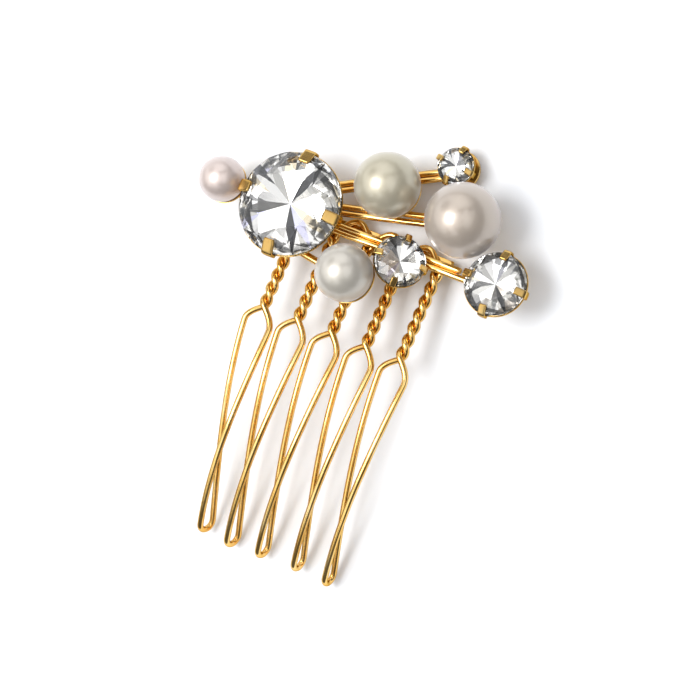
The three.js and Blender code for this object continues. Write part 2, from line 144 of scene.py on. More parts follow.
def add_piece(name, points, faces, materials, nodes, sharp=40, material_index=None):
    """Makes the mesh from points in metres in the resting frame; faces meeting at more than sharp degrees
    keep a crisp edge between them."""
    mesh = bpy.data.meshes.new(name)
    mesh.from_pydata(np.asarray(points).tolist(), [], faces)
    mesh.polygons.foreach_set("use_smooth", np.full(len(mesh.polygons), sharp > 0))
    if sharp > 0:
        mesh.set_sharp_from_angle(angle=math.radians(sharp))
    for material in materials:
        mesh.materials.append(material)
    if material_index is not None:
        mesh.polygons.foreach_set("material_index", np.asarray(material_index, np.int32))
    mesh.update()
    piece = bpy.data.objects.new(name, mesh)
    bpy.context.scene.collection.objects.link(piece)
    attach(piece, "root")
    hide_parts(*nodes)
    corners = np.array([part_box(node) for node in nodes])
    low, high = corners[:, 0].min(0), corners[:, 1].max(0)
    points = np.asarray(points)
    worst = max(np.abs(points.min(0) - low).max(), np.abs(points.max(0) - high).max())
    print(f"{name}: {len(mesh.polygons)} faces, box within {worst / MM:.2f} mm of its CAD nodes' box")
    return piece


def joined(parts):
    """One list of points and one of faces from several (points, faces) parts."""
    counts = np.cumsum([0] + [len(points) for points, _ in parts])
    faces = [[corner + int(start) for corner in face]
             for (_, some), start in zip(parts, counts) for face in some]
    return np.concatenate([points for points, _ in parts]), faces


# %% [markdown]
# ## A finish is a small sum
# Shader maths reads best as ordinary sums. The first class below wraps a node's socket, so that adding or
# multiplying two of them adds the Math node that does it. The second holds the nodes, with one method that
# makes every other kind of node. A finish is such a set of nodes that ends in a surface; the room's light
# is another.

# %% Sums of sockets
class Signal:
    """A socket's value, which can be used in sums with other signals and with numbers."""

    def __init__(self, nodes, socket):
        self.nodes = nodes
        self.socket = socket

    def maths(self, operation, first, second):
        return self.nodes.node("ShaderNodeMath", {"operation": operation}, {0: first, 1: second})

    def __add__(self, other):
        return self.maths("ADD", self, other)

    def __radd__(self, other):
        return self.maths("ADD", other, self)

    def __mul__(self, other):
        return self.maths("MULTIPLY", self, other)

    def __rmul__(self, other):
        return self.maths("MULTIPLY", other, self)


class Nodes:
    """The nodes of a material or of the room, while they are being put together."""

    def __init__(self, owner):
        owner.use_nodes = True
        self.tree = owner.node_tree
        self.tree.nodes.clear()

    def node(self, kind, settings=None, inputs=None, output=0):
        """Adds a node: its settings first, then a value or a link for each named or numbered socket."""
        made_node = self.tree.nodes.new(kind)
        for key, value in (settings or {}).items():
            if key == "stops":
                ramp = made_node.color_ramp
                while len(ramp.elements) < len(value):
                    ramp.elements.new(0.5)
                for element, (place, colour) in zip(ramp.elements, value):
                    element.position = place
                    element.color = (*colour, 1)
            elif key == "interpolation":
                made_node.color_ramp.interpolation = value
            else:
                setattr(made_node, key, value)
        for key, value in (inputs or {}).items():
            if isinstance(value, Signal):
                self.tree.links.new(value.socket, made_node.inputs[key])
            else:
                made_node.inputs[key].default_value = value
        return Signal(self, made_node.outputs[output])

    def noise(self, scale, detail, vector=None):
        """Soft noise, 0 to 1, in the piece's own coordinates."""
        where = vector or self.node("ShaderNodeTexCoord", output="Object")
        return self.node("ShaderNodeTexNoise", {}, {"Vector": where, "Scale": scale, "Detail": detail})

    def blend(self, share, first, second):
        """A colour between two colours."""
        return self.node("ShaderNodeMix", {"data_type": "RGBA"}, {0: share, 6: first, 7: second}, output=2)

    def bump(self, height, strength, distance):
        """Small relief: a height of 0 to 1, and the distance in metres that a height of 1 stands for."""
        return self.node("ShaderNodeBump", {}, {"Height": height, "Strength": strength, "Distance": distance})

    def ended(self, kind, shader):
        """Joins the last shader to the output node of that kind."""
        self.tree.links.new(shader.socket, self.tree.nodes.new(kind).inputs["Surface"])


class Finish(Nodes):
    """A material that ends in a Principled shader."""

    def __init__(self, name):
        self.material = bpy.data.materials.new(name)
        super().__init__(self.material)

    def surface(self, inputs):
        """Ends the finish with a Principled shader that has these inputs, and returns the material."""
        self.ended("ShaderNodeOutputMaterial", self.node("ShaderNodeBsdfPrincipled", {}, inputs))
        return self.material


# %% [markdown]
# ## Gold plating
# The wire and cups are brass under a thin bright layer of yellow gold. Real plating is never one colour: it
# is paler where it was polished and more orange where it is thick, and fine ripples from plating blur its
# mirror. Slow noise carries the colour, and a finer noise the gloss and the ripples. Where the metal turns
# away from the eye a dark brown edge tint darkens its reflection, which is painted shade. The pressed cups
# take a copy of the same gold painted darker, which is painted shade too.

# %% The gold finish
PATCH_SCALE, RIPPLE_SCALE = 260.0, 900.0
GLOSS_RANGE, RIPPLE_STRENGTH = 0.1, 0.35
GOLD_SHADES = [(0.3, (0.78, 0.45, 0.12)), (0.55, (0.88, 0.58, 0.2)), (0.75, (0.96, 0.7, 0.32))]
# A dark brown edge tint: painted shade in the reflection where the metal turns away from the eye.
GOLD_EDGE_PAINTED_SHADE = (0.4, 0.25, 0.1, 1.0)


def gold_finish(name, gloss, ripple, tone):
    """Polished gold: gloss is the smallest roughness, ripple the height of the plating's ripples in metres
    and tone the brightness of its colours."""
    gold = Finish(name)
    patches = gold.noise(PATCH_SCALE, 3.0)
    stops = [(place, tuple(tone * part for part in shade)) for place, shade in GOLD_SHADES]
    ripples = gold.noise(RIPPLE_SCALE, 2.0)
    return gold.surface({
        "Base Color": gold.node("ShaderNodeValToRGB", {"stops": stops}, {0: patches}),
        "Metallic": 1.0,
        "Roughness": gloss + GLOSS_RANGE * ripples,
        "Specular Tint": GOLD_EDGE_PAINTED_SHADE,
        "Normal": gold.bump(ripples, RIPPLE_STRENGTH, ripple),
    })


plating = gold_finish("polished_gold", gloss=0.08, ripple=0.00002, tone=1.0)
# The cups' copy of the gold is painted darker by its tone of 0.78: painted shade.
cup_plating_painted_darker = gold_finish("pressed_gold_painted_darker", gloss=0.13, ripple=0.00003, tone=0.78)
print("gold finishes:", plating.name, cup_plating_painted_darker.name)

# %% [markdown]
# ## The comb wire
# One wire makes all five teeth. From the spine two strands twist round each other, swing apart into a
# hairpin, and meet again in a round bow at the tip, where the hairpin's plane has turned until one leg is
# in front. Above each pair of neighbouring teeth the same wire runs over in an arch. A curve object with a
# bevel could draw it, but a path worked out as an array follows the CAD's own formulas, so the fine wire
# sits exactly in its place.

# %% The path of one tooth
TWIST_STEPS, HAIRPIN_STEPS, BOW_STEPS, ARCH_STEPS = 200, 260, 40, 48
CLOSER_AT_THE_TOP = 1.4


def tooth_centre(i, along):
    """The tooth's middle line: straight down through the twist, then an arc that bends back."""
    after = np.maximum(along - TWIST_END, 0)
    angle = after / BEND_RADIUS
    x = root_x[i] + TIP_DRIFT[i] * after / (TOOTH_LENGTHS[i] - TWIST_END)
    return np.stack([x, -np.minimum(along, TWIST_END) - BEND_RADIUS * np.sin(angle),
                     -BEND_RADIUS * (1 - np.cos(angle))], -1)


def face_direction(along):
    """The direction out of the comb's face at that distance along a tooth."""
    angle = np.maximum(along - TWIST_END, 0) / BEND_RADIUS
    return np.stack([0 * angle, -np.sin(angle), np.cos(angle)], -1)


def strand(i, along, side):
    """A strand circles the middle line in the twist. Below it, the strand's offset eases from the twist's
    last place to half the hairpin's width, in a direction that turns as it goes down. side is 1 in front and
    -1 behind."""
    wound = np.clip((TWIST_END - along) / (TWIST_END - TWIST_START), 0, 1)
    circling = math.pi * (0.5 + TWIST_HALF_TURNS * wound)
    coil = strand_radius * np.stack([np.cos(circling), np.sin(circling)], -1)
    share = np.maximum(along - TWIST_END, 0) / (TOOTH_LENGTHS[i] - TWIST_END)
    turned_by = LOOP_TURN[i] * share ** TURN_POWER
    width = loop_width - (loop_width - TIP_WIDTH) * share ** TAPER_POWER
    spread = width[:, None] / 2 * np.stack([np.cos(turned_by), np.sin(turned_by)], -1)
    swing = np.clip(share / (OPENING_FRONT if side > 0 else OPENING_BACK), 0, 1)
    eased = np.sin(swing * math.pi / 2)[:, None]
    offset = side * (coil * (1 - eased) + spread * eased)
    return (tooth_centre(i, along) + offset[:, :1] * np.array([1.0, 0, 0])
            + offset[:, 1:] * face_direction(along))


def tooth_path(i, left_top, right_top):
    """Down one strand, round the bow at the tip and up the other, from the left root to the right root."""
    bow_start = TOOTH_LENGTHS[i] - TIP_WIDTH / 2
    down = TWIST_END + (bow_start - TWIST_END) * np.linspace(0, 1, HAIRPIN_STEPS) ** CLOSER_AT_THE_TOP
    twist = np.linspace(TWIST_START, TWIST_END, TWIST_STEPS)[:-1]
    front_is_left = math.cos(math.pi * (0.5 + TWIST_HALF_TURNS)) < 0
    first, second = (1, -1) if front_is_left else (-1, 1)
    path_down = strand(i, np.concatenate([[left_top], twist, down]), first)
    path_up = strand(i, np.concatenate([[right_top], twist, down]), second)[::-1]
    start = np.array([bow_start])
    middle = tooth_centre(i, start)
    across = strand(i, start, second) - middle
    bend = bow_start - TWIST_END
    downward = np.array([[0, -math.cos(bend / BEND_RADIUS), -math.sin(bend / BEND_RADIUS)]])
    angle = np.linspace(0, math.pi, BOW_STEPS)[1:-1, None]
    bow = middle - np.cos(angle) * across + np.sin(angle) * np.linalg.norm(across) * downward
    return np.concatenate([path_down, bow, path_up])


def arch_path(i):
    """From tooth i's right strand over to the next tooth's left strand, its height a sine squared."""
    left, right = root_x[i] + strand_radius, root_x[i + 1] - strand_radius
    angle = np.linspace(0, math.pi, ARCH_STEPS)
    x = (left + right) / 2 - (right - left) / 2 * np.cos(angle)
    return np.stack([x, ARCH_RISE * np.sin(angle) ** 2, 0 * x], -1)


# %% Sweeping a round wire along a path
END_STEPS = 4


def evenly(path, step):
    """The same path with points a fixed step apart, by interpolation along its length."""
    length = np.concatenate([[0], np.cumsum(np.linalg.norm(np.diff(path, axis=0), axis=1))])
    wanted = np.linspace(0, length[-1], max(2, int(round(length[-1] / step)) + 1))
    return np.stack([np.interp(wanted, length, path[:, k]) for k in range(3)], -1)


def relaxed(path, step, reach):
    """The path with its sharp turns eased: each point becomes a bell-weighted mean of its neighbours."""
    reach_steps = max(1, int(round(3 * reach / step)))
    weights = np.exp(-0.5 * (np.arange(-reach_steps, reach_steps + 1) * step / reach) ** 2)
    weights /= weights.sum()
    before = 2 * path[0] - path[reach_steps:0:-1]
    after = 2 * path[-1] - path[-2:-reach_steps - 2:-1]
    padded = np.concatenate([before, path, after])
    return np.stack([np.convolve(padded[:, k], weights, mode="valid") for k in range(3)], -1)


def rounded_edge(edge):
    """A quarter circle at the end of a wire or strip: how far the section is drawn in, and how far from the
    end it stands, step by step from the end."""
    ease = np.linspace(0, math.pi / 2, END_STEPS + 1)[:-1]
    return edge * (1 - np.sin(ease)), edge * (1 - np.cos(ease))


def swept(path, radius, around, reference, edge=0.12):
    """A round wire: at each point of the path a circle across the path's direction, and at both ends the edge
    rounded by a quarter circle, then closed to a pole. The reference direction must never lie along the
    path."""
    drawn_in, inward = rounded_edge(edge)
    shrink = radius - drawn_in
    direction = np.gradient(path, axis=0)
    direction /= np.linalg.norm(direction, axis=1)[:, None]
    start = path[0] + direction[0] * inward[:, None]
    end = path[-1] - direction[-1] * inward[::-1, None]
    length = np.concatenate([[0], np.cumsum(np.linalg.norm(np.diff(path, axis=0), axis=1))])
    inner = (length > edge) & (length < length[-1] - edge)
    points = np.concatenate([start, path[inner], end])
    along = np.concatenate([np.repeat(direction[:1], END_STEPS, 0), direction[inner],
                            np.repeat(direction[-1:], END_STEPS, 0)])
    radii = np.concatenate([shrink, np.full(inner.sum(), radius), shrink[::-1]])
    side = reference - (along @ reference)[:, None] * along
    side /= np.linalg.norm(side, axis=1)[:, None]
    other = np.cross(along, side)
    angle = 2 * math.pi * np.arange(around) / around
    rings = (points[:, None] + radii[:, None, None] * (
        np.cos(angle)[None, :, None] * side[:, None] + np.sin(angle)[None, :, None] * other[:, None]))
    vertices = np.concatenate([rings.reshape(-1, 3), points[:1], points[-1:]])
    return vertices, tube_faces(len(points), around)


# %% The comb wire
WIRE_STEP, WIRE_AROUND, SOFT_TURN = 0.1, 16, 0.16
NEVER_ALONG = np.array([0.7, 0.0, 0.714])
TAIL = -0.6
runs = []
for i in range(teeth):
    runs.append(tooth_path(i, TAIL if i == 0 else foot_top, TAIL if i == teeth - 1 else foot_top))
    if i < teeth - 1:
        runs.append(arch_path(i))
comb_path = relaxed(evenly(np.concatenate(runs), WIRE_STEP), WIRE_STEP, SOFT_TURN)
wire_points, wire_faces = swept(comb_path, wire_radius, WIRE_AROUND, NEVER_ALONG)
add_piece("comb_wire", lying(wire_points), wire_faces, [plating],
          [f"tooth_{i + 1}" for i in range(teeth)] + [f"spine_arch_{i + 1}" for i in range(teeth - 1)])

# %% [markdown]
# ## The strip behind the arches
# A flat strip closes the arches from behind, so between the arches and inside them the eye meets shaded
# gold. A plain box would have knife edges that real stamped strip never has; its section here is a rounded
# rectangle.

# %% A rounded rectangle carried along a path
UP, OUT = np.array([0.0, 1.0, 0.0]), np.array([0.0, 0.0, 1.0])


def superellipse(around, power):
    """A rounded square of side 1: half a circle's cosine and sine, each raised to a small power that keeps its
    sign."""
    angle = 2 * math.pi * (np.arange(around) + 0.5) / around
    cosine, sine = np.cos(angle), np.sin(angle)
    return np.stack([np.sign(cosine) * np.abs(cosine) ** power, np.sign(sine) * np.abs(sine) ** power], -1) / 2


def strap(path, across, width, thick, power, around=32, taper=None, edge=0.08):
    """A flat strip along a path: at each point the rounded rectangle lies in the plane of the across
    direction and the path's normal. The ends draw in by a quarter circle and close to a pole. A taper is the
    share of the full size that is kept at each point."""
    direction = np.gradient(path, axis=0)
    direction /= np.linalg.norm(direction, axis=1)[:, None]
    normal = np.cross(direction, across)
    normal /= np.linalg.norm(normal, axis=1)[:, None]
    scale = np.ones(len(path)) if taper is None else taper
    drawn_in, inward = rounded_edge(edge)
    start = path[0] + direction[0] * inward[:, None]
    end = path[-1] - direction[-1] * inward[::-1, None]
    points = np.concatenate([start, path[1:-1], end])
    inset = np.concatenate([drawn_in, np.zeros(len(path) - 2), drawn_in[::-1]])
    scales = np.concatenate([np.repeat(scale[:1], END_STEPS), scale[1:-1], np.repeat(scale[-1:], END_STEPS)])
    normals = np.concatenate([np.repeat(normal[:1], END_STEPS, 0), normal[1:-1],
                              np.repeat(normal[-1:], END_STEPS, 0)])
    section = superellipse(around, power)
    wide = (width * scales - 2 * inset)[:, None] * section[None, :, 0]
    deep = (thick - 2 * np.minimum(inset, thick * 0.45))[:, None] * section[None, :, 1]
    rings = points[:, None] + wide[..., None] * across + deep[..., None] * normals[:, None]
    vertices = np.concatenate([rings.reshape(-1, 3), points[:1], points[-1:]])
    return vertices, tube_faces(len(points), around)


STRIP_STEPS, STRIP_CORNER = 60, 0.2
strip_half = (root_x[-1] - root_x[0]) / 2 + STRIP_OVERHANG
strip_x = np.linspace(-strip_half, strip_half, STRIP_STEPS)
strip_path = strip_centre + np.stack([strip_x, 0 * strip_x, 0 * strip_x], -1)
strip_points, strip_faces = strap(strip_path, UP, STRIP_TOP - STRIP_BOTTOM, STRIP_THICKNESS,
                                  power=STRIP_CORNER)
add_piece("spine_strip_bar", lying(strip_points), strip_faces, [plating], ["spine_strip"])

# %% [markdown]
# ## The rails
# Pairs of straight wires lie side by side on the arches, soldered along their length. They carry the
# settings, so the head is one stiff fan. Each is the same sweep as the comb wire along a path of two ends;
# its cut ends are slightly rounded, and a very slight waviness keeps long highlights from looking ruled.

# %% Rails
RAIL_STEPS, RAIL_AROUND = 60, 28
SIDE_WAVE, SIDE_PACE = 0.012, 1.9
LIFT_WAVE, LIFT_PACE = 0.008, 1.3
MAIN_RAIL_LEFT, MAIN_RAIL_RIGHT, MAIN_RAIL_SHORT_RIGHT = -21.6, 21.6, 14.1
MIDDLE_RAIL = (-6.4, 1.62), (13.9, 6.2)
STUB_LENGTH = 5.6
LINK_WIRE = (1.2, 4.45), (12.2, 6.75)
UPPER_RAIL = (-12.4, 2.05), (10.1, UPPER_RAIL_END_Y)


def rail(name, start, end, node):
    """A straight wire with a waviness of about a hundredth of a millimetre: two slow sines out of step, which
    fade to nothing at the wire's ends."""
    share = np.linspace(0, 1, RAIL_STEPS)[:, None]
    path = (1 - share) * np.array([*start, rail_height]) + share * np.array([*end, rail_height])
    run = path[-1] - path[0]
    sideways = np.cross(run / np.linalg.norm(run), OUT)
    length = share * np.linalg.norm(run)
    wave = SIDE_WAVE * np.sin(length * SIDE_PACE + start[0]) * np.sin(math.pi * share)
    lift = LIFT_WAVE * np.sin(length * LIFT_PACE + start[1]) * np.sin(math.pi * share)
    points, faces = swept(path + wave * sideways + lift * OUT, rail_radius, RAIL_AROUND, OUT)
    add_piece(name, lying(points), faces, [plating], [node])


def beside(start, end, offset):
    """A run moved sideways, to the left of the way it goes."""
    run = np.subtract(end, start)
    run = run / np.linalg.norm(run)
    move = offset * np.array([-run[1], run[0]])
    return np.add(start, move), np.add(end, move)


half_pair = (RAIL_WIRE + RAIL_GAP) / 2
for which, y, right_end in (("upper", half_pair, MAIN_RAIL_SHORT_RIGHT),
                            ("lower", -half_pair, MAIN_RAIL_RIGHT)):
    rail(f"main_rail_wire_{which}", (MAIN_RAIL_LEFT, y), (right_end, y), f"main_rail_{which}")
rail("middle_rail_wire", *MIDDLE_RAIL, "middle_rail")
stub_start, stub_far = beside(*MIDDLE_RAIL, 2 * half_pair)
stub_run = (stub_far - stub_start) / np.linalg.norm(stub_far - stub_start)
rail("middle_rail_stub_wire", stub_start, stub_start + STUB_LENGTH * stub_run, "middle_rail_stub")
rail("link_wire_round", *LINK_WIRE, "link_wire")
rail("upper_rail_wire_front", *beside(*UPPER_RAIL, -half_pair), "upper_rail_front")
rail("upper_rail_wire_back", *beside(*UPPER_RAIL, half_pair), "upper_rail_back")

# %% [markdown]
# ## The strut to the lower pearl
# A thicker wire leaves the main rail, curves away under the big crystal and crosses above the twists. Four
# points give its route, joined by the same kind of smooth curve that passes through each of them.

# %% Strut
def through_points(points, steps):
    """A smooth curve through points (Catmull-Rom with centripetal spacing, ends reflected), as in the CAD."""
    points = np.asarray(points, float)
    knots = np.concatenate([[2 * points[0] - points[1]], points, [2 * points[-1] - points[-2]]])
    pieces = []
    for a, b, c, d in zip(knots, knots[1:], knots[2:], knots[3:]):
        t0 = 0.0
        t1 = t0 + np.linalg.norm(b - a) ** 0.5
        t2 = t1 + np.linalg.norm(c - b) ** 0.5
        t3 = t2 + np.linalg.norm(d - c) ** 0.5
        t = np.linspace(t1, t2, steps)[:, None]
        ab = (t1 - t) / (t1 - t0) * a + (t - t0) / (t1 - t0) * b
        bc = (t2 - t) / (t2 - t1) * b + (t - t1) / (t2 - t1) * c
        cd = (t3 - t) / (t3 - t2) * c + (t - t2) / (t3 - t2) * d
        abc = (t2 - t) / (t2 - t0) * ab + (t - t0) / (t2 - t0) * bc
        bcd = (t3 - t) / (t3 - t1) * bc + (t - t1) / (t3 - t1) * cd
        pieces.append(((t2 - t) / (t2 - t1) * abc + (t - t1) / (t2 - t1) * bcd)[:-1])
    return np.concatenate(pieces + [points[-1:]])


CURVE_STEPS, STRUT_STEP = 40, 0.15
strut_start_y = -(RAIL_WIRE + RAIL_GAP / 2 + FIT + STRUT_WIRE / 2)
strut_route = [(-15.4, strut_start_y), (-10.2, -3.95), (-5.0, -5.1), (2.7, -5.95)]
strut_path = evenly(through_points([(x, y, strut_height) for x, y in strut_route], CURVE_STEPS), STRUT_STEP)
strut_points, strut_faces = swept(strut_path, STRUT_WIRE / 2, RAIL_AROUND, OUT)
add_piece("strut_wire", lying(strut_points), strut_faces, [plating], ["strut"])

# %% [markdown]
# ## Turned pieces
# A bowl, a dish and a pearl are all a profile turned about an axis, as on a lathe. Sharp corners of the
# profile are first rounded by small arcs, because pressed metal has no sharp corners and a rounded rim
# catches a line of light that tells the eye it is metal.

# %% Lathe
MOST_OF_A_SIDE = 0.45


def rounded(profile, radius, steps=5):
    """Each inner corner of the profile becomes an arc-like curve: a quadratic that leaves one side a little
    before the corner and joins the other a little after it, and never takes more than its share of a side."""
    profile = np.asarray(profile, float)
    pieces = [profile[:1]]
    for before, corner, after in zip(profile, profile[1:], profile[2:]):
        one, two = before - corner, after - corner
        reach = min(radius, MOST_OF_A_SIDE * np.linalg.norm(one), MOST_OF_A_SIDE * np.linalg.norm(two))
        first = corner + one / np.linalg.norm(one) * reach
        last = corner + two / np.linalg.norm(two) * reach
        t = np.linspace(0, 1, steps)[:, None]
        pieces.append((1 - t) ** 2 * first + 2 * t * (1 - t) * corner + t ** 2 * last)
    return np.concatenate(pieces + [profile[-1:]])


def turned(profile, around):
    """[radius, height] points turned about Z; the first and last points lie on the axis and are the poles."""
    profile = np.asarray(profile, float)
    angle = 2 * math.pi * np.arange(around) / around
    inner = profile[1:-1]
    rings = np.stack([inner[:, :1] * np.cos(angle), inner[:, :1] * np.sin(angle),
                      np.repeat(inner[:, 1:], around, 1)], -1)
    poles = np.array([[0, 0, profile[0, 1]], [0, 0, profile[-1, 1]]])
    faces = tube_faces(len(inner), around)
    return np.concatenate([rings.reshape(-1, 3), poles]), faces


# %% [markdown]
# ## Crystals
# Each crystal is a brilliant: an eight-sided table, eight triangular stars, eight kites and sixteen upper
# halves on its crown, a thin girdle, and sixteen long kites with thirty-two lower halves on its pavilion.
# Its underside is silvered, so light that enters the crown comes back from one facet or another, and
# neighbouring facets look white, grey or nearly black; a grey or near-black cast painted on many facets of
# the silvering adds to this as painted reflection. The pavilion is shallow, which sends most of the light
# back up through the table.

# %% Facets of a brilliant
CROWN_SHARE, GIRDLE_SHARE, PAVILION_SHARE, TABLE_SHARE = 0.13, 0.035, 0.3, 0.58
CUP_WALL, CUP_FLOOR, RIM_LIP = 0.32, 0.35, 0.12
STAR_REACH, LOWER_REACH = 0.42, 0.55
PAVILION_DEPTH = 0.095
CROWN_FOLD, PAVILION_FOLD = 8, 16
RIM_STEPS = 96

# A prong is its width, its reach over the crown, its thickness and the bearing of the cup's first prong.
# A lean is in degrees, to the right and up.
CRYSTALS = {
    "large": dict(diameter=14, at=(-9.56, 0.15), foot=5.0, flange=0, lift=0.05, raised=0, lean=(0, 0),
                  prong=(1.6, 1.5, 0.42, 0)),
    "small": dict(diameter=4.9, at=(8.8, 12.75), foot=3.0, flange=5.36, lift=0.75, raised=0, lean=(0, 0),
                  prong=(0.75, 0.72, 0.34, -7)),
    "middle": dict(diameter=6.8, at=(5.85, -2.15), foot=3.2, flange=0, lift=0.25, raised=0.46, lean=(26, 14),
                   prong=(0.82, 0.8, 0.36, 9)),
    "right": dict(diameter=8.4, at=(20.5, 0.05), foot=3.8, flange=0, lift=0.15, raised=0, lean=(0, 0),
                  prong=(1.05, 1.05, 0.38, 0)),
}


def stone_heights(stone):
    """Heights above the cup's foot of the girdle's lower edge, the girdle's upper edge and the table."""
    bottom = CUP_FLOOR + stone["lift"] + PAVILION_SHARE * stone["diameter"]
    top = bottom + GIRDLE_SHARE * stone["diameter"]
    return bottom, top, top + CROWN_SHARE * stone["diameter"]


def polar(radius, degrees, height):
    """Points at that distance and bearing from the axis."""
    angle = np.radians(degrees)
    x, y = radius * np.cos(angle), radius * np.sin(angle)
    return np.stack(np.broadcast_arrays(x, y, height), -1).astype(float)


def about_axis(degrees):
    """The turn about a stone's own axis, for points that stand on its left."""
    cosine, sine = math.cos(math.radians(degrees)), math.sin(math.radians(degrees))
    return np.array([[cosine, sine, 0], [-sine, cosine, 0], [0, 0, 1]])


def scallop(corner, low, high, radius, count):
    """Along the girdle, where a facet's plane through a corner and two girdle points cuts the round
    outline."""
    normal = np.cross(low - corner, high - corner)
    first, last = np.degrees(np.arctan2([low[1], high[1]], [low[0], high[0]]))
    last += 360 * (last < first - 1e-6)
    rim = polar(radius, np.linspace(first, last, count), 0.0)
    rim[:, 2] = corner[2] - ((rim[:, :2] - corner[:2]) @ normal[:2]) / normal[2]
    return rim


def side_of_stone(radius, girdle, inner, apex, reach, fold):
    """Kites and halves on one side of the girdle. inner is the radius of the table, or 0 at the culet, and
    apex its height. The corner between two kites stands where both kites' planes meet, at a share of the way
    out."""
    step = 360 / fold
    way = inner + (radius - inner) * reach if inner > 0 else radius * (1 - reach)
    slope = (girdle - apex) / (radius - inner)
    bearings = step * np.arange(fold)
    tips = polar(inner, bearings, apex)
    corners = polar(way / math.cos(math.pi / fold), bearings + step / 2, apex + (way - inner) * slope)
    on_girdle = polar(radius, step / 2 * np.arange(2 * fold), girdle)
    kites, halves, rims = [], [], []
    for k in range(fold):
        kites.append(np.stack([tips[k], corners[k - 1], on_girdle[2 * k], corners[k]]))
        for low, high in ((2 * k, 2 * k + 1), (2 * k + 1, (2 * k + 2) % (2 * fold))):
            rim = scallop(corners[k], on_girdle[low], on_girdle[high], radius, RIM_STEPS // (2 * fold) + 1)
            rims.append(rim)
            halves.append(np.concatenate([corners[k][None], rim]))
    stars = [np.stack([tips[k], corners[k], tips[(k + 1) % fold]]) for k in range(fold)] if inner > 0 else []
    return kites, halves, stars, np.concatenate([rim[:-1] for rim in rims]), tips


def brilliant(stone, twist):
    """All facets as polygons with their own points; a later merge joins them. Returns polygons and a kind for
    each: 0 crown, 1 girdle, 2 pavilion."""
    bottom, top, table = stone_heights(stone)
    radius = stone["diameter"] / 2
    kites, halves, stars, upper, tips = side_of_stone(
        radius, top, radius * TABLE_SHARE, table, STAR_REACH, CROWN_FOLD)
    crown = [tips] + stars + kites + halves
    deep = bottom - PAVILION_DEPTH * stone["diameter"]
    mains, lowers, _, lower, _ = side_of_stone(radius, bottom, 0.0, deep, LOWER_REACH, PAVILION_FOLD)
    mains = [np.stack([p[0], p[3], p[2], p[1]]) for p in mains]
    lowers = [p[::-1] for p in lowers]
    band = [np.stack([lower[j - 1], lower[j], upper[j], upper[j - 1]]) for j in range(RIM_STEPS)]
    polygons = [p @ about_axis(twist) for p in crown + band + mains + lowers]
    kinds = [0] * len(crown) + [1] * len(band) + [2] * (len(mains) + len(lowers))
    return polygons, kinds


def welded(polygons, close=1e-4):
    """One list of points for polygons that share corners: points are matched after rounding, in mm."""
    corners = np.concatenate(polygons)
    _, first, which = np.unique(np.round(corners / close).astype(np.int64), axis=0, return_index=True,
                                return_inverse=True)
    which = which.ravel()
    ends = np.cumsum([len(p) for p in polygons])
    faces = []
    for count, end in zip([len(p) for p in polygons], ends):
        face = which[end - count:end]
        face = face[face != np.roll(face, 1)]
        faces.append(face.tolist())
    return corners[first], faces


# %% [markdown]
# ## Glass and its silvered back
# The crown is clear lead glass, with almost no colour of its own. The silvering is a mirror with a painted
# cast on each facet: most are bright, some are grey or nearly black as painted reflections of dark
# surroundings, and a few are warm or violet as painted flashes of split light. Those casts are a colour
# stored on each facet, so they stay on the stone from every side.

# %% Crystal finishes
def glass_finish():
    """Clear glass, with light passing through it."""
    glass = Finish("crystal_glass")
    return glass.surface({"Base Color": (0.995, 0.99, 0.98, 1.0), "Roughness": 0.0, "IOR": 1.56,
                          "Transmission Weight": 0.97})


SPECKLE_SCALE = 9000.0


def silver_finish():
    """A mirror in each facet's painted cast, which is painted reflection, with a speckle of a tenth of a
    millimetre in its gloss.
    """
    silver = Finish("silvered_back")
    cast = silver.node("ShaderNodeAttribute", {"attribute_name": "facet_cast"}, output="Color")
    speckle = silver.noise(SPECKLE_SCALE, 2.0)
    return silver.surface({"Base Color": cast, "Metallic": 1.0, "Roughness": 0.04 + 0.04 * speckle})


crystal_glass = glass_finish()
silvering = silver_finish()

# %% Stones in their places
# Painted reflection: grey and near-black casts stand for dark wedges, warm and violet ones for flashes of
# split light.
SILVER_PAINTED_CASTS = np.array([
    (0.99, 0.98, 0.96), (0.94, 0.93, 0.9), (0.62, 0.61, 0.58), (0.3, 0.3, 0.3),
    (0.05, 0.05, 0.055), (0.86, 0.76, 0.57), (0.74, 0.74, 0.95)])
PAINTED_CAST_SHARES = np.array([0.38, 0.18, 0.13, 0.13, 0.08, 0.06, 0.04])


def setting_frame(stone):
    """The turn and place of a setting: a lean up about X after a lean to the right about Y."""
    right, up = np.radians(stone["lean"])
    about_x = np.array([[1, 0, 0], [0, math.cos(up), math.sin(up)], [0, -math.sin(up), math.cos(up)]])
    about_y = np.array([
        [math.cos(right), 0, math.sin(right)], [0, 1, 0], [-math.sin(right), 0, math.cos(right)]])
    return about_x @ about_y, np.array([*stone["at"], rail_top + stone["raised"]])


def placed(points, stone):
    """Points in a setting's own frame, in mm, put where the setting lies, in metres."""
    matrix, place = setting_frame(stone)
    return lying(points @ matrix.T + place)


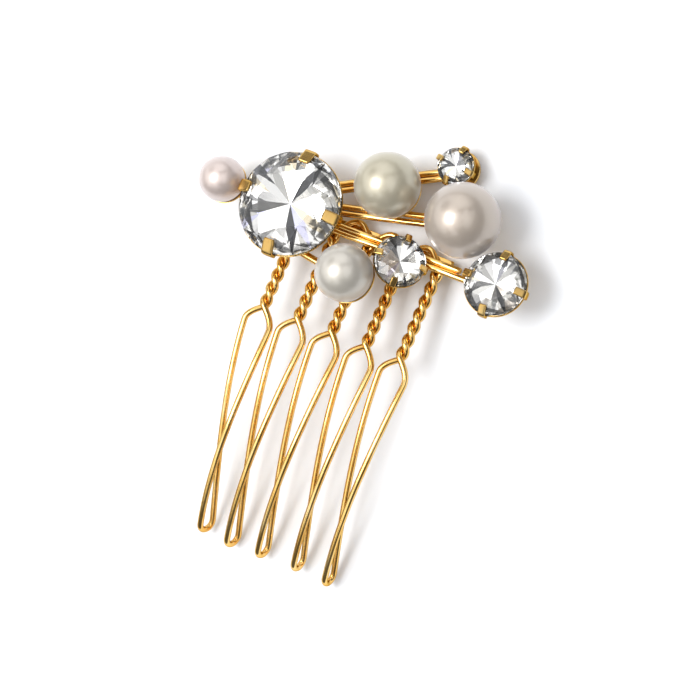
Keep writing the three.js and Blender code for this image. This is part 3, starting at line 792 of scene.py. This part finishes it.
def add_stone(name, stone, twist, seed):
    """The stone's mesh, glass above and silvered below, with a painted reflection cast drawn by chance for
    each facet.
    """
    polygons, kinds = brilliant(stone, twist)
    points, faces = welded(polygons)
    piece = add_piece(f"{name}_brilliant", placed(points, stone), faces, [crystal_glass, silvering],
                      [f"{name}_crystal"], sharp=0,
                      material_index=[1 if kind == 2 else 0 for kind in kinds])
    chance = np.random.default_rng(seed)
    casts = SILVER_PAINTED_CASTS[chance.choice(len(SILVER_PAINTED_CASTS), len(faces), p=PAINTED_CAST_SHARES)]
    per_corner = np.repeat(casts, [len(face) for face in faces], axis=0)
    layer = piece.data.color_attributes.new("facet_cast", "FLOAT_COLOR", "CORNER")
    layer.data.foreach_set("color", np.column_stack([per_corner, np.ones(len(per_corner))]).ravel())


FACET_TWISTS = {"large": 4.0, "small": 15.0, "middle": 11.0, "right": 20.0}
FIRST_SEED = 61
for seed, (name, stone) in enumerate(CRYSTALS.items(), start=FIRST_SEED):
    add_stone(name, stone, FACET_TWISTS[name], seed)

# %% [markdown]
# ## Prong cups
# A prong cup is pressed from sheet brass: a small flat foot, a bowl that follows the stone's underside, and
# four straps that stand up past the girdle and are folded over the crown. The bowl is turned from its
# profile, and each prong is a strap with rounded edges along a bent line. Small round fillets where the
# strap bends matter most, since every prong shows one bright line there.

# %% Cups with prongs
CUP_AROUND, CUP_FILLET = 128, 0.14
PRONG_FILLET, PRONG_STEP, PRONG_AROUND, PRONG_CORNER = 0.3, 0.06, 24, 0.35
PRONG_EDGE, TIP_SHARE, TIP_NARROWING = 0.1, 0.25, 0.12


def cup_profile(stone):
    """The pressed bowl, from the axis under the foot round the rim and back to the axis inside."""
    bottom, _, _ = stone_heights(stone)
    radius, foot = stone["diameter"] / 2, stone["foot"] / 2
    slope = PAVILION_SHARE * 2
    lip = bottom - FIT
    wide = stone["flange"] / 2
    base = [(wide, 0), (wide, CUP_FLOOR), (foot, CUP_FLOOR)] if wide else [(foot, 0)]
    return [(0, 0), *base, (radius + RIM_LIP, lip - CUP_WALL), (radius + RIM_LIP, lip),
            (radius - CUP_WALL, lip - (CUP_WALL + RIM_LIP) * slope), (foot - CUP_WALL, CUP_FLOOR),
            (0, CUP_FLOOR)]


def prong(stone, bearing):
    """A strap from inside the rim, up beside the girdle and folded over the crown. Its last quarter narrows
    slightly towards the tip."""
    bottom, top, table = stone_heights(stone)
    width, reach, thick, _ = stone["prong"]
    radius = stone["diameter"] / 2
    crown_slope = (table - top) / (radius * (1 - TABLE_SHARE))
    outside = radius + FIT + thick / 2
    shoulder = top + 2 * FIT + thick * 0.45
    # The bends stand at shares of the cup's wall and of the strap's own thickness.
    line = [(radius - CUP_WALL * 0.2, bottom - 2 * FIT - CUP_WALL * 1.15), (outside, bottom - CUP_WALL * 1.4),
            (outside, shoulder - thick * 0.1), (outside - thick * 0.55, shoulder + thick * 0.35),
            (radius - reach + 0.02, shoulder + thick * 0.35 + (reach + FIT) * crown_slope)]
    path = evenly(np.insert(rounded(line, PRONG_FILLET, steps=8), 1, 0, axis=1), PRONG_STEP)
    share = np.linspace(0, 1, len(path))
    taper = 1 - TIP_NARROWING * np.clip((share - 1 + TIP_SHARE) / TIP_SHARE, 0, 1) ** 2
    points, faces = strap(path, UP, width, thick, around=PRONG_AROUND, power=PRONG_CORNER, taper=taper,
                          edge=PRONG_EDGE)
    return points @ about_axis(bearing), faces


for name, stone in CRYSTALS.items():
    parts = [turned(rounded(cup_profile(stone), CUP_FILLET), CUP_AROUND)]
    parts += [prong(stone, stone["prong"][3] + 90 * k) for k in range(4)]
    cup_points, cup_faces = joined(parts)
    add_piece(f"{name}_prong_cup", placed(cup_points, stone), cup_faces, [cup_plating_painted_darker],
              [f"{name}_crystal_cup"])

# %% [markdown]
# ## Pearls
# A pearl's glow comes from thin layers of nacre: a soft, wide highlight from the rough layers beneath and a
# faint sharp one from the polished top, with slow drifts of pink, green and cream. The shape is a turned
# ball with a drilled hole below, made very slightly uneven, because no nacre is a perfect ball. The finish
# has a rough, partly metallic base for the wide highlight, a coat for the sharp one, and sheen for the pale
# rim.

# %% Pearls and their dishes
DISH_WALL, DISH_FLOOR, PEG_DIAMETER, PEG_DEPTH = 0.3, 0.3, 0.9, 0.45
DISH_AROUND, DISH_STEPS, DISH_FILLET, PEG_FILLET = 96, 30, 0.12, 0.1
RIM_TURN = 4
PEARL_AROUND, PEARL_STEPS = 128, 90
DRIFT_SCALE, NACRE_RIPPLE_SCALE = 220.0, 2500.0
UNEVENNESS = 0.0015
SLOW_WAVES = (2.1, 0.7, 1.6), (-1.2, 2.4, 0.9), (0.8, -1.9, 2.7)
PEARLS = {
    "left": dict(diameter=6.1, at=(-20.47, 0.21), grip=0.85, foot=2.6, height=rail_top),
    "upper": dict(diameter=8.8, at=(1.92, 6.98), grip=0.8, foot=5.4, height=rail_top),
    "lower": dict(diameter=7.7, at=(1.24, -5.81), grip=0.85, foot=3.2, height=strut_top),
    "great": dict(diameter=10, at=(13.69, 6.0), grip=0.6, foot=4.0, height=rail_top),
}


def pearl_finish(name, main, other, seed):
    """Two near colours that drift into each other over the pearl."""
    nacre = Finish(name)
    own_place = (seed * 1.3, seed * 0.7, seed * 2.1)  # each pearl reads another part of the noise
    where = nacre.node("ShaderNodeMapping", {}, {
        "Vector": nacre.node("ShaderNodeTexCoord", output="Object"), "Location": own_place})
    drift = nacre.noise(DRIFT_SCALE, 2.0, where)
    ripple = nacre.noise(NACRE_RIPPLE_SCALE, 3.0, where)
    return nacre.surface({
        "Base Color": nacre.blend(drift, main, other),
        "Metallic": 0.45,
        "Roughness": 0.35 + 0.06 * ripple,
        "Coat Weight": 0.4 + 0.2 * drift,
        "Coat Roughness": 0.13,
        "Coat IOR": 1.8,
        "Sheen Weight": 0.4,
        "Sheen Roughness": 0.35,
        "Sheen Tint": (0.93, 0.9, 1.0, 1.0),
        "Normal": nacre.bump(ripple, 0.15, 0.00001),
    })


def dish_profile(pearl):
    """A dish that follows the pearl up to its grip, with the peg standing in its middle. The grip is the rim's
    radius as a share of the pearl's, and the rim turns over within the bowl's first few steps."""
    bowl = pearl["diameter"] / 2 + FIT
    centre = DISH_FLOOR + bowl
    peg = PEG_DIAMETER / 2
    grip = math.asin(pearl["grip"])
    rim_height, rim_inner = centre - bowl * math.cos(grip), bowl * pearl["grip"]
    peg_top = DISH_FLOOR + pearl["diameter"] / 2 * PEG_DEPTH
    angle = np.linspace(grip, math.asin(peg / bowl), DISH_STEPS)
    inside = np.stack([bowl * np.sin(angle), centre - bowl * np.cos(angle)], -1)
    outside = [(0, 0), (pearl["foot"] / 2, 0), (rim_inner + DISH_WALL * 0.6, rim_height - DISH_WALL),
               (rim_inner + DISH_WALL, rim_height), inside[0]]
    return np.concatenate([rounded([*outside, inside[RIM_TURN]], DISH_FILLET)[:-1], inside[RIM_TURN:],
                           rounded([inside[-1], (peg, peg_top), (0, peg_top)], PEG_FILLET)[1:]])


def pearl_surface(pearl, seed):
    """A ball turned about its drilled hole. Near its surface each point then moves in by up to 0.3 percent of
    the radius, as three slow waves say."""
    radius = pearl["diameter"] / 2
    centre = DISH_FLOOR + radius + FIT
    hole = PEG_DIAMETER / 2 + FIT
    floor = DISH_FLOOR + radius * PEG_DEPTH + FIT
    angle = np.linspace(math.asin(hole / radius), math.pi, PEARL_STEPS)
    ball = np.stack([radius * np.sin(angle), centre - radius * np.cos(angle)], -1)
    ball[-1, 0] = 0
    profile = np.concatenate([[(0, floor), (hole, floor)], ball])
    points, faces = turned(profile, PEARL_AROUND)
    out = points - [0, 0, centre]
    direction = out / np.linalg.norm(out, axis=1)[:, None]
    waves = sum(np.sin(direction @ np.array(wave) + seed) for wave in SLOW_WAVES)
    near_surface = np.clip((np.linalg.norm(out, axis=1) / radius - 0.9) / 0.1, 0, 1)
    return points - direction * (radius * UNEVENNESS * (1 + waves / 3) * near_surface)[:, None], faces


PEARL_COLOURS = {
    "left": ((0.66, 0.55, 0.49, 1), (0.62, 0.53, 0.50, 1)),
    "upper": ((0.49, 0.45, 0.33, 1), (0.54, 0.49, 0.38, 1)),
    "lower": ((0.53, 0.50, 0.43, 1), (0.57, 0.53, 0.47, 1)),
    "great": ((0.51, 0.43, 0.35, 1), (0.47, 0.41, 0.355, 1)),
}
for seed, (name, pearl) in enumerate(PEARLS.items(), start=1):
    place = np.array([*pearl["at"], pearl["height"]])
    dish_points, dish_faces = turned(dish_profile(pearl), DISH_AROUND)
    add_piece(f"{name}_dish", lying(dish_points + place), dish_faces, [cup_plating_painted_darker], [f"{name}_pearl_cup"])
    ball_points, ball_faces = pearl_surface(pearl, seed)
    nacre = pearl_finish(f"{name}_nacre", *PEARL_COLOURS[name], seed)
    add_piece(f"{name}_nacre_pearl", lying(ball_points + place), ball_faces, [nacre],
              [f"{name}_pearl"])

# %% [markdown]
# ## Floor, light and camera
# The comb lies on a plain white table. A large soft light from above and a little to the left gives the
# pearls their wide highlights and throws short soft shadows to the right. The room itself is bright
# overhead and towards the window at the upper left, and dark at the horizon, which puts dark bands in the
# gold and the crystals. The bright part is broken into panels of a few levels, so neighbouring facets find
# something different to mirror.

# %% Floor
FLOOR_HALF = 3.0
PAPER = (0.89, 0.91, 0.94, 1)
CORNERS = (-1, -1), (1, -1), (1, 1), (-1, 1)
floor_mesh = bpy.data.meshes.new("table_top")
floor_mesh.from_pydata([(x * FLOOR_HALF, y * FLOOR_HALF, 0) for x, y in CORNERS], [], [(0, 1, 2, 3)])
table_top = bpy.data.objects.new("table_top", floor_mesh)
paper = Finish("white_paper")
floor_mesh.materials.append(paper.surface({"Base Color": PAPER, "Roughness": 0.9, "Specular IOR Level": 0.1}))
bpy.context.scene.collection.objects.link(table_top)

# %% [markdown]
# The camera has a long lens. It looks down on the comb's face, leaning a little to the comb's right and a
# little towards its tips, and is rolled so that the spine slopes down to the right.

# %% Camera
LOOK_AT = np.array([3.95, -14.28, 0.0])
LEAN_RIGHT, LEAN_DOWN, SPINE_SLOPE = math.radians(21), math.radians(6), math.radians(21.3)
VIEW_WIDTH, LENS, SENSOR = 91.5 * MM, 250.0, 36.0
back = np.array([math.sin(LEAN_RIGHT), -math.cos(LEAN_RIGHT) * math.sin(LEAN_DOWN),
                 math.cos(LEAN_RIGHT) * math.cos(LEAN_DOWN)])
spine = np.array([1.0, 0, 0]) - back[0] * back
spine /= np.linalg.norm(spine)
upward = np.cross(back, spine)
right_hand = math.cos(SPINE_SLOPE) * spine + math.sin(SPINE_SLOPE) * upward
up_hand = np.cross(back, right_hand)
axes = turn @ np.stack([right_hand, up_hand, back], -1)
camera_data = bpy.data.cameras.new("camera")
camera_data.lens, camera_data.sensor_width = LENS, SENSOR
camera_data.clip_start, camera_data.clip_end = 0.01, 20
camera = bpy.data.objects.new("camera", camera_data)
bpy.context.scene.collection.objects.link(camera)
place = lying(LOOK_AT) + axes[:, 2] * VIEW_WIDTH * LENS / SENSOR
matrix = np.eye(4)
matrix[:3, :3], matrix[:3, 3] = axes, place
camera.matrix_world = Matrix(matrix.tolist())
bpy.context.scene.camera = camera
print("camera", place.round(3), "looks along", -axes[:, 2].round(3))

# %% Light and room
def softbox(name, direction, distance, size, power):
    """A square light that faces the comb from that direction."""
    data = bpy.data.lights.new(name, "AREA")
    data.size, data.energy = size, power
    light = bpy.data.objects.new(name, data)
    direction = np.array(direction, float) / np.linalg.norm(direction)
    light.location = direction * distance
    light.rotation_mode = "QUATERNION"
    light.rotation_quaternion = Vector(direction).to_track_quat("Z", "Y")
    bpy.context.scene.collection.objects.link(light)


softbox("overhead_softbox", direction=(-0.34, -0.034, 1.0), distance=1.2, size=0.62, power=10.0)

WINDOW_SIDE = Vector((-0.25, 0.22, 0.93)).normalized()
HORIZON = (0.12, 0.12, 0.125, 1)
BRIGHT_FROM, BRIGHT_BY = 0.37, 0.55
PANEL_SCALE, PANEL_LEVELS = 2.2, [(0.0, 0.12), (0.16, 0.9), (0.34, 1.3), (0.6, 1.6)]
PANEL_WHITE = 0.98, 0.99, 1.01
world = bpy.data.worlds.new("studio")
room = Nodes(world)
direction = room.node("ShaderNodeTexCoord", output="Generated")
toward_window = room.node("ShaderNodeVectorMath", {"operation": "DOT_PRODUCT"},
                          {0: direction, 1: WINDOW_SIDE}, output="Value")
brightness = room.node("ShaderNodeValToRGB", {
    "stops": [(BRIGHT_FROM, (0, 0, 0)), (BRIGHT_BY, (1, 1, 1))]}, {0: toward_window})
cells = room.node("ShaderNodeTexVoronoi", {}, {"Vector": direction, "Scale": PANEL_SCALE}, output="Color")
shade = room.node("ShaderNodeSeparateColor", {}, {"Color": cells}, output="Red")
panels = room.node("ShaderNodeValToRGB", {
    "interpolation": "CONSTANT",
    "stops": [(place, tuple(level * part for part in PANEL_WHITE)) for place, level in PANEL_LEVELS],
}, {0: shade})
sky = room.blend(brightness, HORIZON, panels)
room.ended("ShaderNodeOutputWorld", room.node("ShaderNodeBackground", {}, {"Color": sky}))
bpy.context.scene.world = world
bpy.context.scene.view_settings.view_transform = "Standard"
